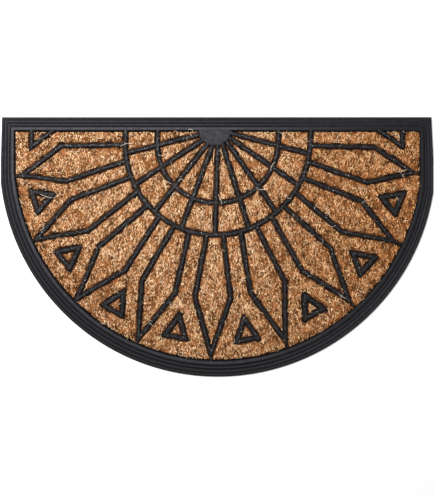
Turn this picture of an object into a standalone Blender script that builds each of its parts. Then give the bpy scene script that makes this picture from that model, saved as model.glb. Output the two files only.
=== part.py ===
# A half-round doormat: one rubber moulding, with a ridged border and a sunburst of raised ribs, and the
# one-piece coir matting in it, which runs on under the ribs and stands up as a pad in each opening.
# Units are metres. X runs along the straight edge, Y towards that edge, Z up from the underside.

import math

import bmesh
import bpy
from mathutils import Vector
from mathutils.geometry import delaunay_2d_cdt

# Outline of the mat: a half round with short straight sides up to the straight edge. Its round edge is
# struck from a point a little to the right of the middle, and the straight sides trim it. The sides run in
# a little towards the straight edge, the left one first.
MAT_WIDTH = 0.750
MAT_DEPTH = 0.450
STRAIGHT_EDGE_Y = MAT_DEPTH / 2
OUTER_RADIUS = 0.3785
OUTER_CENTRE = (0.0010, OUTER_RADIUS - MAT_DEPTH / 2)
CORNER_INSETS = (0.0020, 0.0034)

# Opening inside the border, struck and trimmed in the same way, with upright sides.
OPENING_RADIUS = 0.353
OPENING_CENTRE = (0.0025, 0.1567)
OPENING_SIDES = (-0.3498, 0.3517)
BORDER_TOP_WIDTH = 0.0247
ARC_STEPS = 60

# Heights, and the gap that parts the coir from the rubber.
BACKING_TOP = 0.0020
RIB_UNDERSIDE = 0.0048
RIB_TOP = 0.0092
PAD_TOP = 0.0100
GAP = 0.0003

# Section of the border, from its outer edge inwards: a flat lip, two low ridges, and the tall inner rib.
# Columns: share of the border's width, height.
BORDER_SECTION = (
    (0.000, 0.0024),
    (0.030, 0.0034),
    (0.140, 0.0037),
    (0.195, 0.0029),
    (0.260, 0.0047),
    (0.350, 0.0049),
    (0.425, 0.0039),
    (0.500, 0.0060),
    (0.585, 0.0062),
    (0.640, 0.0052),
    (0.685, 0.0052),
    (0.725, 0.0086),
    (0.755, 0.0094),
    (0.880, 0.0094),
    (0.940, 0.0088),
    (1.000, 0.0074),
    (1.000, BACKING_TOP),
)
EMBED_SHARE = 0.87  # the ribs run on into the border as far as this

# The sunburst. Its spokes meet at the pole, and depths are measured down the mat from there.
POLE_X = 0.0023
POLE_Y = 0.2024
LEAN = 0.0327  # the whole sunburst leans this much to the left for each unit of depth
TILT = 0.0046  # and hangs this much lower for each unit to the right
SPOKE_ANGLES = (14.5, 33.9, 53.4, 71.1, 90.0)  # below the straight edge, mirrored to the left
RING_DEPTH = 0.022
RING_RADII = (0.1046, 0.1600)
RING_STEPS = 36
HUB_RADIUS = 0.0285
HUB_STRETCH = 1.04  # it is this much wider than round
HUB_SHIFT = -0.0060
HUB_TOP = 0.0093
HUB_UNDERSIDE = 0.0050
HUB_BURIED = 0.0015
HUB_STEPS = 24

# Petals: pointed figures between the outer ring and the border.
PETAL_COUNT = 9
PETAL_PITCH = 180.0 / PETAL_COUNT
PETAL_POLE_DEPTH = 0.0125
PETAL_BASE_HALF = 0.0140
PETAL_SHOULDER_RADIUS = 0.2680
PETAL_SHOULDER_HALF = 0.0309
PETAL_TIP_DEPTH = 0.0469
PETAL_TIP_RADIUS = 0.3405
PETAL_NECK_WIDTH = 0.0036
LEFTMOST_TIP_SHIFT = (0.0030, -0.0078)  # the tip furthest left has slipped to the right and down

# Small triangles between the petals' tips, pointing at the pole.
TRIANGLE_APEX_DEPTH = 0.0320
TRIANGLE_APEX_RADIUS = 0.2968
TRIANGLE_BASE_DEPTH = 0.0385
TRIANGLE_BASE_RADIUS = 0.3275
TRIANGLE_BASE_HALF = 0.0183

# Only the coir holds these triangles in line, so each has settled a little off its place.
# Columns: to the right, towards the straight edge. The first triangle is the one furthest right.
TRIANGLE_SHIFTS = (
    (0.0016, 0.0012),
    (0.0028, -0.0006),
    (0.0017, -0.0019),
    (0.0006, -0.0026),
    (-0.0019, 0.0018),
    (0.0018, 0.0027),
    (0.0024, 0.0067),
    (0.0017, 0.0021),
)

# Half triangles that stand against the straight edge near the corners, the left one first.
HALF_TRIANGLE_OUTER = (-0.3230, 0.3192)
HALF_TRIANGLE_INNER = (-0.2835, 0.2790)
HALF_TRIANGLE_DEPTH = (0.0312, 0.0270)

# Section of the ribs and of the pads' edges.
RIB_WIDTH = 0.0080
TRIANGLE_RIB_WIDTH = 0.0093
RIB_CHAMFER_WIDTH = 0.0006
RIB_CHAMFER_HEIGHT = 0.0010
PAD_CHAMFER_WIDTH = 0.0007
PAD_CHAMFER_HEIGHT = 0.0012

# Posts that hold each free triangle to the backing, through holes in the coir.
POST_RADIUS = 0.0024
POST_SIDES = 6
POST_ROOT = 0.0010
POST_HOLE_RADIUS = POST_RADIUS + GAP / math.cos(math.pi / POST_SIDES)

SMOOTH_ANGLE = math.radians(35.0)
WELD = 0.000001  # points of the flat pattern nearer than this are one

# Kinds of cell in the flat pattern that the coir and the ribs are raised from: left low, sloping up to
# the crest, the crest itself, and the foot of a post.
LOW, SLOPE, CREST, POST = range(4)


def clear_scene():
    for obj in list(bpy.data.objects):
        bpy.data.objects.remove(obj, do_unlink=True)


def blend(start, end, share):
    return start + (end - start) * share


def half_round(share, inset=0.0):
    """Points round the border, anticlockwise, from its outer edge (share 0) to the opening (share 1)."""
    radius = blend(OUTER_RADIUS, OPENING_RADIUS, share) - inset
    centre_x = blend(OUTER_CENTRE[0], OPENING_CENTRE[0], share)
    centre_y = blend(OUTER_CENTRE[1], OPENING_CENTRE[1], share)
    left = blend(-MAT_WIDTH / 2, OPENING_SIDES[0], share) + inset
    right = blend(MAT_WIDTH / 2, OPENING_SIDES[1], share) - inset
    top = STRAIGHT_EDGE_Y - BORDER_TOP_WIDTH * share - inset
    left_inset, right_inset = (inward * (1 - share) for inward in CORNER_INSETS)
    points = [Vector((right - right_inset, top)), Vector((left + left_inset, top))]
    for step in range(ARC_STEPS + 1):
        angle = math.pi * (1 + step / ARC_STEPS)
        across = min(right, max(left, centre_x + radius * math.cos(angle)))
        points.append(Vector((across, centre_y + radius * math.sin(angle))))
    return points


def lattice_point(point):
    """A point of the sunburst, given as (across, depth) from the pole, placed on the mat."""
    across, depth = point
    return Vector((POLE_X + across - LEAN * depth, POLE_Y - depth - TILT * across))


def direction(angle):
    return Vector((math.cos(math.radians(angle)), math.sin(math.radians(angle))))


def ray_to_circle(start, heading, centre_depth, radius):
    """Where a ray leaves a circle whose centre is straight below the pole."""
    offset = start - Vector((0.0, centre_depth))
    along = offset.dot(heading)
    return start + heading * (math.sqrt(along * along - offset.length_squared + radius * radius) - along)


def spoke_lines():
    pole = Vector((0.0, 0.0))
    for angle in SPOKE_ANGLES:
        for each in {angle, 180.0 - angle}:
            yield [pole, ray_to_circle(pole, direction(each), RING_DEPTH, RING_RADII[1])]


def ring_lines():
    for radius in RING_RADII:
        arc = [
            Vector((0.0, RING_DEPTH)) + radius * direction(180.0 * step / RING_STEPS)
            for step in range(RING_STEPS + 1)
        ]
        above = -BORDER_TOP_WIDTH / 2
        yield [Vector((radius, above)), *arc, Vector((-radius, above))]


def petal_lines():
    """Each petal from ring to shoulder to tip and back, and the short neck from its tip to the border."""
    start = Vector((0.0, PETAL_POLE_DEPTH))
    for index in range(PETAL_COUNT):
        along = direction(PETAL_PITCH * (index + 0.5))
        across = Vector((-along.y, along.x))
        tip = ray_to_circle(start, along, PETAL_TIP_DEPTH, PETAL_TIP_RADIUS)
        if index == PETAL_COUNT - 1:
            right, up = LEFTMOST_TIP_SHIFT
            tip += Vector((right, -up))
        sides = []
        for hand in (-1, 1):
            foot = ray_to_circle(start + across * hand * PETAL_BASE_HALF, along, RING_DEPTH, RING_RADII[1])
            shoulder = ray_to_circle(start, along, RING_DEPTH, PETAL_SHOULDER_RADIUS)
            sides.append([foot, shoulder + across * hand * PETAL_SHOULDER_HALF])
        yield [*sides[0], tip, *reversed(sides[1])], RIB_WIDTH
        yield [tip, tip + along * BORDER_TOP_WIDTH], PETAL_NECK_WIDTH


def triangle_corners():
    """The three corners of each free triangle, on the middle of its ribs."""
    start = Vector((0.0, PETAL_POLE_DEPTH))
    for index, (right, up) in enumerate(TRIANGLE_SHIFTS, 1):
        along = direction(PETAL_PITCH * index)
        across = Vector((-along.y, along.x)) * TRIANGLE_BASE_HALF
        shift = Vector((right, -up))
        apex = ray_to_circle(start, along, TRIANGLE_APEX_DEPTH, TRIANGLE_APEX_RADIUS) + shift
        base = ray_to_circle(start, along, TRIANGLE_BASE_DEPTH, TRIANGLE_BASE_RADIUS) + shift
        yield [apex, base - across, base + across]


def half_triangle_lines():
    above = -BORDER_TOP_WIDTH / 2
    for outer, inner, depth in zip(HALF_TRIANGLE_OUTER, HALF_TRIANGLE_INNER, HALF_TRIANGLE_DEPTH):
        slope = (outer - inner) / depth
        corner = Vector((outer, depth))
        yield [Vector((outer, above)), corner, Vector((inner + slope * above, above))]


def mitred_sides(points, half_width, closed):
    """The points moved to either side of the line, with mitred corners."""
    count = len(points)
    sides = []
    for index, point in enumerate(points):
        ahead = points[(index + 1) % count] - point if closed or index < count - 1 else None
        behind = point - points[index - 1] if closed or index > 0 else None
        normals = [Vector((-step.y, step.x)).normalized() for step in (behind, ahead) if step]
        middle = sum(normals, Vector((0.0, 0.0))).normalized()
        reach = half_width / middle.dot(normals[0])
        sides.append((point - middle * reach, point + middle * reach))
    return sides


def rib_cells(line, width, closed=False):
    """One four-sided cell for each straight length of a rib."""
    sides = mitred_sides([lattice_point(point) for point in line], width / 2, closed)
    following = sides[1:] + sides[:1] if closed else sides[1:]
    return [[near[0], far[0], far[1], near[1]] for near, far in zip(sides, following)]


def all_rib_cells(extra):
    """The flat cells of every rib, each side moved out by extra."""
    cells = []
    for line in [*spoke_lines(), *ring_lines(), *half_triangle_lines()]:
        cells += rib_cells(line, RIB_WIDTH + 2 * extra)
    for line, width in petal_lines():
        cells += rib_cells(line, width + 2 * extra)
    for corners in triangle_corners():
        cells += rib_cells(corners, TRIANGLE_RIB_WIDTH + 2 * extra, closed=True)
    return cells


def post_cells(radius):
    """A six-sided cell at each corner of each free triangle."""
    cells = []
    for corners in triangle_corners():
        for corner in corners:
            centre = lattice_point(corner)
            cells.append([centre + radius * direction(360.0 * side / POST_SIDES) for side in range(POST_SIDES)])
    return cells


def hub_outline(radius):
    """The half-round hub, its straight side buried in the border."""
    centre = lattice_point((HUB_SHIFT, 0.0))
    half = radius * HUB_STRETCH
    rim = [direction(180.0 * step / HUB_STEPS) for step in range(HUB_STEPS + 1)]
    arc = [centre - Vector((half * point.x, radius * point.y)) for point in rim]
    top = centre.y + HUB_BURIED
    return [*arc, Vector((centre.x + half, top)), Vector((centre.x - half, top))]


def anticlockwise(cell):
    area = sum(a.x * b.y - b.x * a.y for a, b in zip(cell, cell[1:] + cell[:1]))
    return cell if area > 0 else cell[::-1]


def divide(groups):
    """Overlays groups of flat cells. Gives the points, and each face with the groups that it lies in."""
    points, faces, owner = [], [], []
    for group, cells in enumerate(groups):
        for cell in cells:
            faces.append(list(range(len(points), len(points) + len(cell))))
            points += anticlockwise(cell)
            owner.append(group)
    triangles_inside = 1
    placed, _, pieces, _, _, sources = delaunay_2d_cdt(points, [], faces, triangles_inside, WELD)
    return placed, [(piece, {owner[face] for face in source}) for piece, source in zip(pieces, sources)]


def flat_pattern(bm, placed, chosen, height):
    """Draws the chosen faces at one height, each marked with its kind. Returns the layer of kinds."""
    kinds = bm.faces.layers.int.new("kind")
    corners = {}
    for loop, kind in chosen:
        for index in loop:
            if index not in corners:
                corners[index] = bm.verts.new((placed[index].x, placed[index].y, height))
        bm.faces.new([corners[index] for index in loop])[kinds] = kind
    bm.normal_update()
    return kinds


def raise_faces(bm, faces, height, keep=False):
    """Extrudes faces straight to a height, and returns the ones that moved. A first sheet keeps its faces."""
    made = bmesh.ops.extrude_face_region(bm, geom=faces)["geom"]
    for item in made:
        if isinstance(item, bmesh.types.BMVert):
            item.co.z = height
    if not keep:
        bmesh.ops.delete(bm, geom=faces, context="FACES_ONLY")
    return [item for item in made if isinstance(item, bmesh.types.BMFace)]


def lift_crest(faces, kinds, height):
    """Lifts the corners of the crest and post cells, so that the cells beside them slope to the shoulder."""
    for face in faces:
        if face[kinds] in (CREST, POST):
            for vert in face.verts:
                vert.co.z = height


def finish_object(bm, name, material):
    bmesh.ops.recalc_face_normals(bm, faces=bm.faces)
    mesh = bpy.data.meshes.new(name)
    bm.to_mesh(mesh)
    bm.free()
    mesh.shade_smooth()
    mesh.set_sharp_from_angle(angle=SMOOTH_ANGLE)
    obj = bpy.data.objects.new(name, mesh)
    bpy.context.scene.collection.objects.link(obj)
    if material:
        obj.data.materials.append(material)
    return obj


def make_material(name, colour, roughness):
    material = bpy.data.materials.new(name)
    material.use_nodes = True
    shader = material.node_tree.nodes["Principled BSDF"]
    shader.inputs["Base Color"].default_value = (*colour, 1.0)
    shader.inputs["Roughness"].default_value = roughness
    shader.inputs["Metallic"].default_value = 0.0
    return material


def rubber_material():
    return make_material("black_rubber", (0.035, 0.036, 0.040), 0.62)


def coir_material():
    return make_material("coir_fibre", (0.52, 0.30, 0.13), 0.95)


def make_coir(material):
    """The matting: a half-round sheet with a groove for every rib, a pad in every opening, and post holes."""
    lip = GAP + PAD_CHAMFER_WIDTH
    sheet, crests, lips, grooves, holes = range(5)
    placed, pieces = divide(
        (
            [half_round(1.0, GAP)],
            [half_round(1.0, lip)],
            [*all_rib_cells(lip), hub_outline(HUB_RADIUS + lip)],
            [*all_rib_cells(GAP), hub_outline(HUB_RADIUS + GAP)],
            post_cells(POST_HOLE_RADIUS),
        )
    )
    chosen = []
    for loop, found in pieces:
        if sheet in found and holes not in found:
            kind = LOW if grooves in found else CREST if crests in found and lips not in found else SLOPE
            chosen.append((loop, kind))
    bm = bmesh.new()
    kinds = flat_pattern(bm, placed, chosen, BACKING_TOP + GAP)
    top = raise_faces(bm, bm.faces[:], RIB_UNDERSIDE - GAP, keep=True)
    pads = raise_faces(bm, [face for face in top if face[kinds] != LOW], PAD_TOP - PAD_CHAMFER_HEIGHT)
    lift_crest(pads, kinds, PAD_TOP)
    return finish_object(bm, "coir_matting", material)


def make_tray(material):
    """The backing and the border, as rings of points joined from the underside up and in."""
    bm = bmesh.new()
    section = [(0.0, 0.0), *BORDER_SECTION]
    rings = [[bm.verts.new((*point, height)) for point in half_round(share)] for share, height in section]
    for low, high in zip(rings, rings[1:]):
        for index in range(len(low)):
            following = (index + 1) % len(low)
            bm.faces.new((low[index], low[following], high[following], high[index]))
    bm.faces.new(rings[0])
    bm.faces.new(rings[-1])
    return finish_object(bm, "rubber_moulding", material)


def make_hub():
    base, crown = range(2)
    placed, pieces = divide(([hub_outline(HUB_RADIUS)], [hub_outline(HUB_RADIUS - RIB_CHAMFER_WIDTH)]))
    chosen = [(loop, CREST if crown in found else SLOPE) for loop, found in pieces if base in found]
    bm = bmesh.new()
    kinds = flat_pattern(bm, placed, chosen, HUB_UNDERSIDE)
    top = raise_faces(bm, bm.faces[:], HUB_TOP - RIB_CHAMFER_HEIGHT, keep=True)
    lift_crest(top, kinds, HUB_TOP)
    return finish_object(bm, "hub_shape", None)


def make_lattice():
    """Every rib in one plate, with the posts under the free triangles."""
    inside, ribs, crowns, posts = range(4)
    placed, pieces = divide(
        (
            [half_round(EMBED_SHARE)],
            all_rib_cells(0.0),
            all_rib_cells(-RIB_CHAMFER_WIDTH),
            post_cells(POST_RADIUS),
        )
    )
    chosen = []
    for loop, found in pieces:
        if inside in found and ribs in found:
            chosen.append((loop, POST if posts in found else CREST if crowns in found else SLOPE))
    bm = bmesh.new()
    kinds = flat_pattern(bm, placed, chosen, RIB_UNDERSIDE)
    under = bm.faces[:]
    top = raise_faces(bm, under, RIB_TOP - RIB_CHAMFER_HEIGHT, keep=True)
    lift_crest(top, kinds, RIB_TOP)
    raise_faces(bm, [face for face in under if face[kinds] == POST], POST_ROOT)
    return finish_object(bm, "lattice_shape", None)


def join_shape(obj, shape):
    """Unites a helper shape with the object and hides the helper."""
    shape.hide_render = True
    shape.display_type = "WIRE"
    modifier = obj.modifiers.new(shape.name, "BOOLEAN")
    modifier.operation = "UNION"
    modifier.solver = "EXACT"
    modifier.object = shape


def main():
    clear_scene()
    make_coir(coir_material())
    moulding = make_tray(rubber_material())
    join_shape(moulding, make_hub())
    join_shape(moulding, make_lattice())


main()
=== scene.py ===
import math

import bpy
import numpy as np
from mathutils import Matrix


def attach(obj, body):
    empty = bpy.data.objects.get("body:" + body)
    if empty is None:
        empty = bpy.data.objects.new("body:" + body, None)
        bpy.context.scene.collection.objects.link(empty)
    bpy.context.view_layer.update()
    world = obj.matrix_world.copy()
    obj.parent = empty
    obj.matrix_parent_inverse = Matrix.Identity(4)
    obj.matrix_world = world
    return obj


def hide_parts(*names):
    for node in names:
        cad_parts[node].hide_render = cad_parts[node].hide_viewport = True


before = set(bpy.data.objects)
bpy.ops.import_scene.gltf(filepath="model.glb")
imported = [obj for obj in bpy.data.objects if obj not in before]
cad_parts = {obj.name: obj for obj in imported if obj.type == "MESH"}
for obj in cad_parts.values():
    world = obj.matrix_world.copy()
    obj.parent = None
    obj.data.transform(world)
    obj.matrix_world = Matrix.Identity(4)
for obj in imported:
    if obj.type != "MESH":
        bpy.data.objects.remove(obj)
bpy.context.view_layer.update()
print("frame loaded:", ", ".join(sorted(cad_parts)))

# the mat's plan and heights, as in its solids
mat = {
    "sides": (-0.375, 0.375),
    "straightEdge": 0.225,
    "radius": 0.3785,
    "centre": (0.0010, 0.1535),
    "cornerInsets": (0.0020, 0.0034),  # how far the sides run in towards the straight edge
    "openingSides": (-0.3498, 0.3517),
    "openingRadius": 0.353,
    "openingCentre": (0.0025, 0.1567),
    "topBorder": 0.0247,
    "innerRib": 0.0040,  # from the opening to the middle of the border's inner rib
    "backingTop": 0.0020,
}

# the sunburst that the ribs draw, measured down from the pole where the spokes meet
sunburst = {
    "pole": (0.0023, 0.2024),
    "lean": 0.0327,  # to the left for each unit of depth
    "tilt": 0.0046,  # down for each unit to the right
    "spokeAngles": (14.5, 33.9, 53.4, 71.1, 90.0, 108.9, 126.6, 146.1, 165.5),
    "spokeStart": 0.019,
    # rings, shoulders, tips and corners lie on circles, and each depth is that of a circle's centre
    "ringDepth": 0.022,
    "ringRadii": (0.1046, 0.1600),
    "ringStep": 3,  # degrees
    "hubRadius": 0.0285,
    "hubStretch": 1.04,
    "hubShift": -0.0060,
    "petals": 9,
    "petalPole": 0.0125,  # the depth from which the petals and the triangles fan out
    "petalFootHalf": 0.0140,
    "shoulderRadius": 0.2680,
    "shoulderHalf": 0.0309,
    "tipDepth": 0.0469,
    "tipRadius": 0.3405,
    "neckWidth": 0.0036,
    "neckLength": 0.0155,
    "apexDepth": 0.0320,
    "apexRadius": 0.2968,
    "baseDepth": 0.0385,
    "baseRadius": 0.3275,
    "baseHalf": 0.0183,
    "leftmostTipShift": (0.0030, -0.0078),  # right and up
    # each by its outer side, the inner end of its slope at the pole's height, and its depth
    "halfTriangles": ((-0.3230, -0.2835, 0.0312), (0.3192, 0.2790, 0.0270)),
    "ribWidth": 0.0080,
    "triangleRibWidth": 0.0093,
    # how far each free triangle has settled to the right and up, the right-hand one first
    "triangleShifts": (
        (0.0016, 0.0012),
        (0.0028, -0.0006),
        (0.0017, -0.0019),
        (0.0006, -0.0026),
        (-0.0019, 0.0018),
        (0.0018, 0.0027),
        (0.0024, 0.0067),
        (0.0017, 0.0021),
    ),
}


def heading(degrees):
    return np.array([math.cos(math.radians(degrees)), math.sin(math.radians(degrees))])


def toCircle(start, along, centreDepth, radius):
    # where a ray meets a circle centred straight below the pole
    offset = start - (0.0, centreDepth)
    run = offset @ along
    return start + along * (math.sqrt(run * run - offset @ offset + radius * radius) - run)


def onMat(line):
    # points of the sunburst, as (across, depth) from the pole, placed on the mat
    line = np.array(line, float)
    across = sunburst["pole"][0] + line[:, 0] - sunburst["lean"] * line[:, 1]
    return np.stack([across, sunburst["pole"][1] - line[:, 1] - sunburst["tilt"] * line[:, 0]], axis=1)


def drawSunburst():
    # every rib as (its middle line on the mat, its width)
    s = sunburst
    ribs = []
    pole = np.zeros(2)
    outerRing = s["ringRadii"][1]
    # the ribs that meet the straight border end in the middle of its inner rib
    above = s["pole"][1] - (mat["straightEdge"] - mat["topBorder"] + mat["innerRib"])
    for angle in s["spokeAngles"]:
        along = heading(angle)
        outerEnd = toCircle(pole, along, s["ringDepth"], outerRing)
        ribs.append((onMat([along * s["spokeStart"], outerEnd]), s["ribWidth"]))
    for radius in s["ringRadii"]:
        arc = [radius * heading(angle) + (0.0, s["ringDepth"]) for angle in range(0, 181, s["ringStep"])]
        ribs.append((onMat([(radius, above), *arc, (-radius, above)]), s["ribWidth"]))
    root = np.array([0.0, s["petalPole"]])
    pitch = 180 / s["petals"]
    for index in range(s["petals"]):
        along = heading(pitch * (index + 0.5))
        across = np.array([-along[1], along[0]])
        tip = toCircle(root, along, s["tipDepth"], s["tipRadius"])
        if index == s["petals"] - 1:
            tip += np.array(s["leftmostTipShift"]) * (1, -1)
        shoulder = toCircle(root, along, s["ringDepth"], s["shoulderRadius"])
        feet = [
            toCircle(root + across * hand * s["petalFootHalf"], along, s["ringDepth"], outerRing)
            for hand in (-1, 1)
        ]
        sides = [shoulder - across * s["shoulderHalf"], shoulder + across * s["shoulderHalf"]]
        ribs.append((onMat([feet[0], sides[0], tip, sides[1], feet[1]]), s["ribWidth"]))
        ribs.append((onMat([tip, tip + along * s["neckLength"]]), s["neckWidth"]))
    for index, (right, up) in enumerate(s["triangleShifts"], 1):
        along = heading(pitch * index)
        across = np.array([-along[1], along[0]]) * s["baseHalf"]
        apex = toCircle(root, along, s["apexDepth"], s["apexRadius"])
        base = toCircle(root, along, s["baseDepth"], s["baseRadius"])
        corners = np.array([apex, base - across, base + across, apex]) + (right, -up)
        ribs.append((onMat(corners), s["triangleRibWidth"]))
    for outer, inner, depth in s["halfTriangles"]:
        inner += (outer - inner) / depth * above
        ribs.append((onMat([(outer, above), (outer, depth), (inner, above)]), s["ribWidth"]))
    return ribs


ribs = drawSunburst()
# the hub counts as a wide rib between two close points
hubHalf = sunburst["hubRadius"] * (sunburst["hubStretch"] - 1)
hubEnds = onMat([(sunburst["hubShift"] + side * hubHalf, 0.0) for side in (-1, 1)])
ribStarts = np.concatenate([line[:-1] for line, width in ribs] + [hubEnds[:1]])
ribEnds = np.concatenate([line[1:] for line, width in ribs] + [hubEnds[1:]])
ribHalves = np.concatenate(
    [np.full(len(line) - 1, width / 2) for line, width in ribs] + [[sunburst["hubRadius"]]]
)
print("sunburst drawn:", len(ribs), "ribs")


def blend(start, end, share):
    return start + (end - start) * share


farAway = 1.0  # more than any distance on the mat
ribReach = 0.03  # ribs further off than this are left out
batchSize = 20000  # points measured at a time


def openingSpace(points):
    # how far each point is inside the border's opening, and the way further in
    apart = points - mat["openingCentre"]
    reach = np.maximum(np.hypot(apart[:, 0], apart[:, 1]), 1e-9)
    room = np.where(apart[:, 1] < 0, mat["openingRadius"] - reach, farAway)
    way = -apart / reach[:, None]
    left, right = mat["openingSides"]
    top = mat["straightEdge"] - mat["topBorder"]
    sides = (
        (points[:, 0] - left, (1, 0)),
        (right - points[:, 0], (-1, 0)),
        (top - points[:, 1], (0, -1)),
    )
    for space, turn in sides:
        closer = space < room
        room[closer] = space[closer]
        way[closer] = turn
    return room, way


def openSpace(points):
    # how far each point is from the nearest rubber, and the way out from it; it is negative over the rubber
    room = np.full(len(points), farAway)
    way = np.zeros((len(points), 2))
    spans = ribEnds - ribStarts
    lengths = np.maximum((spans ** 2).sum(1), 1e-12)
    for first in range(0, len(points), batchSize):
        part = points[first:first + batchSize]
        best = np.full(len(part), farAway)
        out = np.zeros((len(part), 2))
        for start, span, length, half in zip(ribStarts, spans, lengths, ribHalves):
            near = (np.abs(part - (start + span / 2)) < math.sqrt(length) / 2 + half + ribReach).all(1)
            here = part[near]
            run = np.clip((here - start) @ span / length, 0, 1)
            apart = here - start - run[:, None] * span
            reach = np.hypot(apart[:, 0], apart[:, 1])
            closer = reach - half < best[near]
            rows = np.flatnonzero(near)[closer]
            best[rows] = (reach - half)[closer]
            out[rows] = apart[closer] / np.maximum(reach[closer], 1e-9)[:, None]
        room[first:first + batchSize] = best
        way[first:first + batchSize] = out
    space, turn = openingSpace(points)
    closer = space < room
    room[closer] = space[closer]
    way[closer] = turn[closer]
    return room, way


noiseField = 1.2  # metres across, with the mat in its middle


def softNoise(points, cell, seed):
    # smooth seeded values from -1 to 1, one swell for each cell
    size = int(noiseField / cell) + 3
    grid = np.random.default_rng(seed).uniform(-1, 1, (size, size))
    place = (points[:, :2] + noiseField / 2) / cell
    cells = np.floor(place).astype(int)
    share = place - cells
    share = share * share * (3 - 2 * share)
    i, j = cells.T
    u, v = share.T
    low = grid[i, j] * (1 - u) + grid[i + 1, j] * u
    high = grid[i, j + 1] * (1 - u) + grid[i + 1, j + 1] * u
    return low * (1 - v) + high * v


def rise(values, start, reach, most=1):
    # 0 up to the start, then evenly up to the most; a Rise in a dictionary is its start and reach
    return np.clip((values - start) / reach, 0, most)


def swells(points, terms, start=0.0):
    # soft noise in several sizes, each given as (how much, cell, seed)
    return sum((most * softNoise(points, cell, seed) for most, cell, seed in terms), start)


def meshFrom(name, points, faces, material, layers=()):
    # a smooth mesh from arrays; each face row may hold 3 or 4 corners, and layers are values on the points
    mesh = bpy.data.meshes.new(name)
    sizes = np.concatenate([np.full(len(rows), rows.shape[1]) for rows in faces])
    corners = np.concatenate([rows.ravel() for rows in faces])
    mesh.vertices.add(len(points))
    mesh.vertices.foreach_set("co", points.astype(np.float32).ravel())
    mesh.loops.add(len(corners))
    mesh.loops.foreach_set("vertex_index", corners.astype(np.int32))
    mesh.polygons.add(len(sizes))
    mesh.polygons.foreach_set("loop_start", np.concatenate([[0], np.cumsum(sizes)[:-1]]).astype(np.int32))
    mesh.update(calc_edges=True)
    mesh.validate()
    mesh.shade_smooth()
    for title, values in layers:
        mesh.attributes.new(title, "FLOAT", "POINT").data.foreach_set("value", values.astype(np.float32))
    mesh.materials.append(material)
    piece = bpy.data.objects.new(name, mesh)
    bpy.context.scene.collection.objects.link(piece)
    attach(piece, "root")
    print(name + ":", int((sizes - 2).sum()), "triangles")
    return piece


def rowsToFaces(rows, columns, wrap=False):
    # four-cornered faces between neighbouring rows of points
    across = np.arange(columns if wrap else columns - 1)
    start = (np.arange(rows - 1) * columns)[:, None]
    here, following = start + across, start + (across + 1) % columns
    return np.stack([here, following, following + columns, here + columns], axis=-1).reshape(-1, 4)


# The finishes, and the shader group that they share.

def addNode(tree, kind, place, **settings):
    node = tree.nodes.new(kind)
    node.location = place
    for name, value in settings.items():
        if name in node.inputs:
            node.inputs[name].default_value = value
        else:
            setattr(node, name, value)
    return node


def linkAll(tree, links):
    # each link as (node, its output, next node, its input)
    for node, output, following, entry in links:
        tree.links.new(node.outputs[output], following.inputs[entry])


def addRamp(tree, place, stops):
    ramp = addNode(tree, "ShaderNodeValToRGB", place)
    elements = ramp.color_ramp.elements
    for element, (position, colour) in zip(elements, (stops[0], stops[-1])):
        element.position, element.color = position, (*colour, 1)
    for position, colour in stops[1:-1]:
        elements.new(position).color = (*colour, 1)
    return ramp


def makeMottle():
    # slow drift over the object, as one value from 0 to 1
    group = bpy.data.node_groups.new("mottle", "ShaderNodeTree")
    for title, value in (("Scale", 20.0), ("Detail", 3.0), ("Low", 0.35), ("High", 0.65)):
        socket = group.interface.new_socket(name=title, in_out="INPUT", socket_type="NodeSocketFloat")
        socket.default_value = value
    group.interface.new_socket(name="Value", in_out="OUTPUT", socket_type="NodeSocketFloat")
    entry = addNode(group, "NodeGroupInput", (-900, 0))
    leave = addNode(group, "NodeGroupOutput", (100, 0))
    where = addNode(group, "ShaderNodeTexCoord", (-900, -200))
    noise = addNode(group, "ShaderNodeTexNoise", (-600, 0), Roughness=0.6)
    spread = addNode(group, "ShaderNodeMapRange", (-200, 0))
    linkAll(group, (
        (where, "Object", noise, "Vector"),
        (entry, "Scale", noise, "Scale"),
        (entry, "Detail", noise, "Detail"),
        (noise, "Fac", spread, "Value"),
        (entry, "Low", spread, "From Min"),
        (entry, "High", spread, "From Max"),
        (spread, "Result", leave, "Value"),
    ))
    return group


mottle = makeMottle()


def placeMottle(tree, place, **values):
    return addNode(tree, "ShaderNodeGroup", place, node_tree=mottle, **values)


def newMaterial(name, **sockets):
    material = bpy.data.materials.new(name)
    material.use_nodes = True
    shader = material.node_tree.nodes["Principled BSDF"]
    for title, value in sockets.items():
        shader.inputs[title].default_value = value
    return material, material.node_tree, shader


# what the coir and its pale hairs share
fibreLook = {
    "gloss": 0.08,
    "grain": 0.16,  # how much the tone varies along a fibre
    "reddish": (0.400, 0.145, 0.045),
    "warmth": (1.0, 0.87, 0.70),  # multiplies the colour where the coir is warmest
}
coirLook = {
    "roughness": 0.8,
    "reddishMost": 0.50,
    # colour by tone, from the shaded depth of the pile to its sun-bleached tips
    "ramp": (
        (0.00, (0.016, 0.006, 0.0025)),
        (0.25, (0.125, 0.043, 0.010)),
        (0.50, (0.455, 0.229, 0.094)),
        (0.75, (0.690, 0.432, 0.222)),
        (1.00, (0.825, 0.590, 0.368)),
    ),
}
paleLook = {
    "roughness": 0.6,
    "reddishMost": 0.05,
    "ramp": (
        (0.00, (0.120, 0.070, 0.040)),
        (0.50, (0.500, 0.400, 0.290)),
        (1.00, (0.880, 0.800, 0.660)),
    ),
}


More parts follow.
